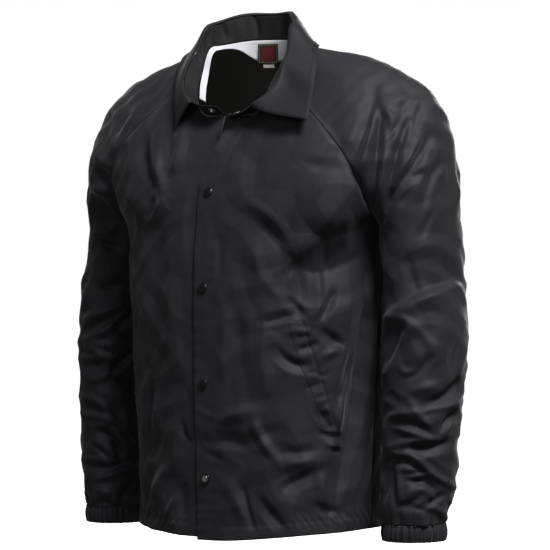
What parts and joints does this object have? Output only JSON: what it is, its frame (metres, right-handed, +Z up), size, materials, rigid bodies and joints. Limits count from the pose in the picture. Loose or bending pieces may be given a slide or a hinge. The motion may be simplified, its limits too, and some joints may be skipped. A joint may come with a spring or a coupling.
{
  "type": "coach jacket",
  "caption": "Lightweight nylon coach jacket with raglan sleeves, folded collar, snap front and slanted pockets, filled out with no wearer.",
  "frame": {"origin": "the neck seam at the centre back, projected to the middle of the neck opening, which is the level where the jacket rests on the shoulders", "axes": "+Z up along the wearer's back, -Y the way the wearer faces, +X the wearer's left"},
  "size_m": [0.6873, 0.2854, 0.7915],
  "materials": {
    "nylon": "plain woven nylon with a soft sheen",
    "facing": "pale matt cloth",
    "label": "woven label",
    "size_tab": "woven tape",
    "snap_black": "glossy black",
    "snap_steel": "plated"
  },
  "bodies": {
    "root": {"front_left": "nylon", "front_right": "nylon", "back": "nylon", "sleeve_left": "nylon", "sleeve_right": "nylon", "cuff_left": "nylon", "cuff_right": "nylon", "collar_stand": "nylon", "collar_leaf": "nylon", "welt_left": "nylon", "welt_right": "nylon", "neck_facing": "facing", "neck_label": "label", "size_tab": "size_tab", "snap_cap_0": "snap_black", "snap_cap_1": "snap_black", "snap_cap_2": "snap_black", "snap_cap_3": "snap_black", "snap_cap_4": "snap_black", "snap_socket": "snap_steel", "snap_stud": "snap_steel"}
  },
  "joints": []
}
